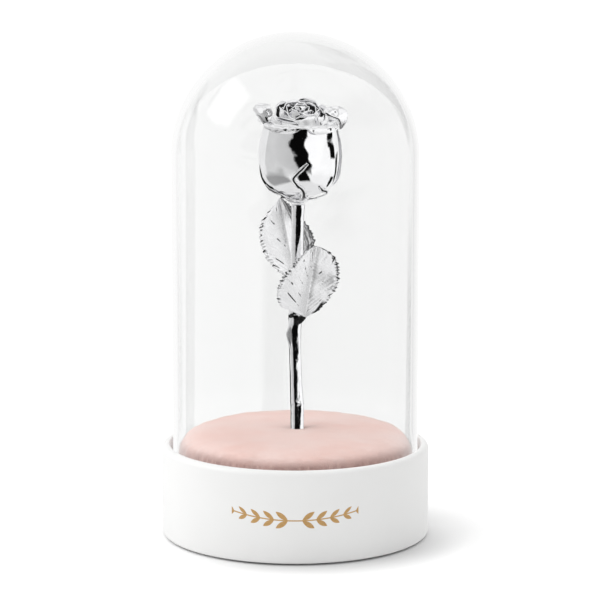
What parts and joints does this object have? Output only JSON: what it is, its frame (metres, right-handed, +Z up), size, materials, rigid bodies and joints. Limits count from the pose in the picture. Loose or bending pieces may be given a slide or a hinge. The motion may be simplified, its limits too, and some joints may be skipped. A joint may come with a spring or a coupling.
{
  "type": "preserved rose in glass dome",
  "caption": "Metal-plated rose with leaves standing on a pink padded disc in a round white base, under a clear glass dome with a half-round top.",
  "frame": {"origin": "centre of the underside, on the surface that the part stands on", "axes": "+Z up along the dome's axis, -Y towards the front of the flower, +X to its right seen from the front"},
  "size_m": [0.12, 0.12, 0.2253],
  "materials": {
    "felt": "dark felt foot pad",
    "lacquer": "satin white lacquer",
    "velvet": "pale pink short velvet",
    "dome_glass": "clear glass",
    "silver": "bright silver plating over a real rose"
  },
  "bodies": {
    "root": {"foot_pad": "felt", "base": "lacquer", "cushion": "velvet", "glass_dome": "dome_glass", "stem": "silver", "leaf_front": "silver", "leaf_back": "silver", "calyx": "silver", "sepal_1": "silver", "sepal_2": "silver", "sepal_3": "silver", "sepal_4": "silver", "sepal_5": "silver", "petal_outer_1": "silver", "petal_outer_2": "silver", "petal_outer_3": "silver", "petal_outer_4": "silver", "petal_outer_5": "silver", "petal_middle_1": "silver", "petal_middle_2": "silver", "petal_middle_3": "silver", "petal_middle_4": "silver", "petal_middle_5": "silver", "petal_inner_1": "silver", "petal_inner_2": "silver", "petal_inner_3": "silver", "petal_inner_4": "silver", "petal_core_1": "silver", "petal_core_2": "silver", "petal_core_3": "silver", "petal_core_4": "silver", "petal_core_5": "silver", "petal_core_6": "silver", "petal_centre": "silver"}
  },
  "joints": []
}
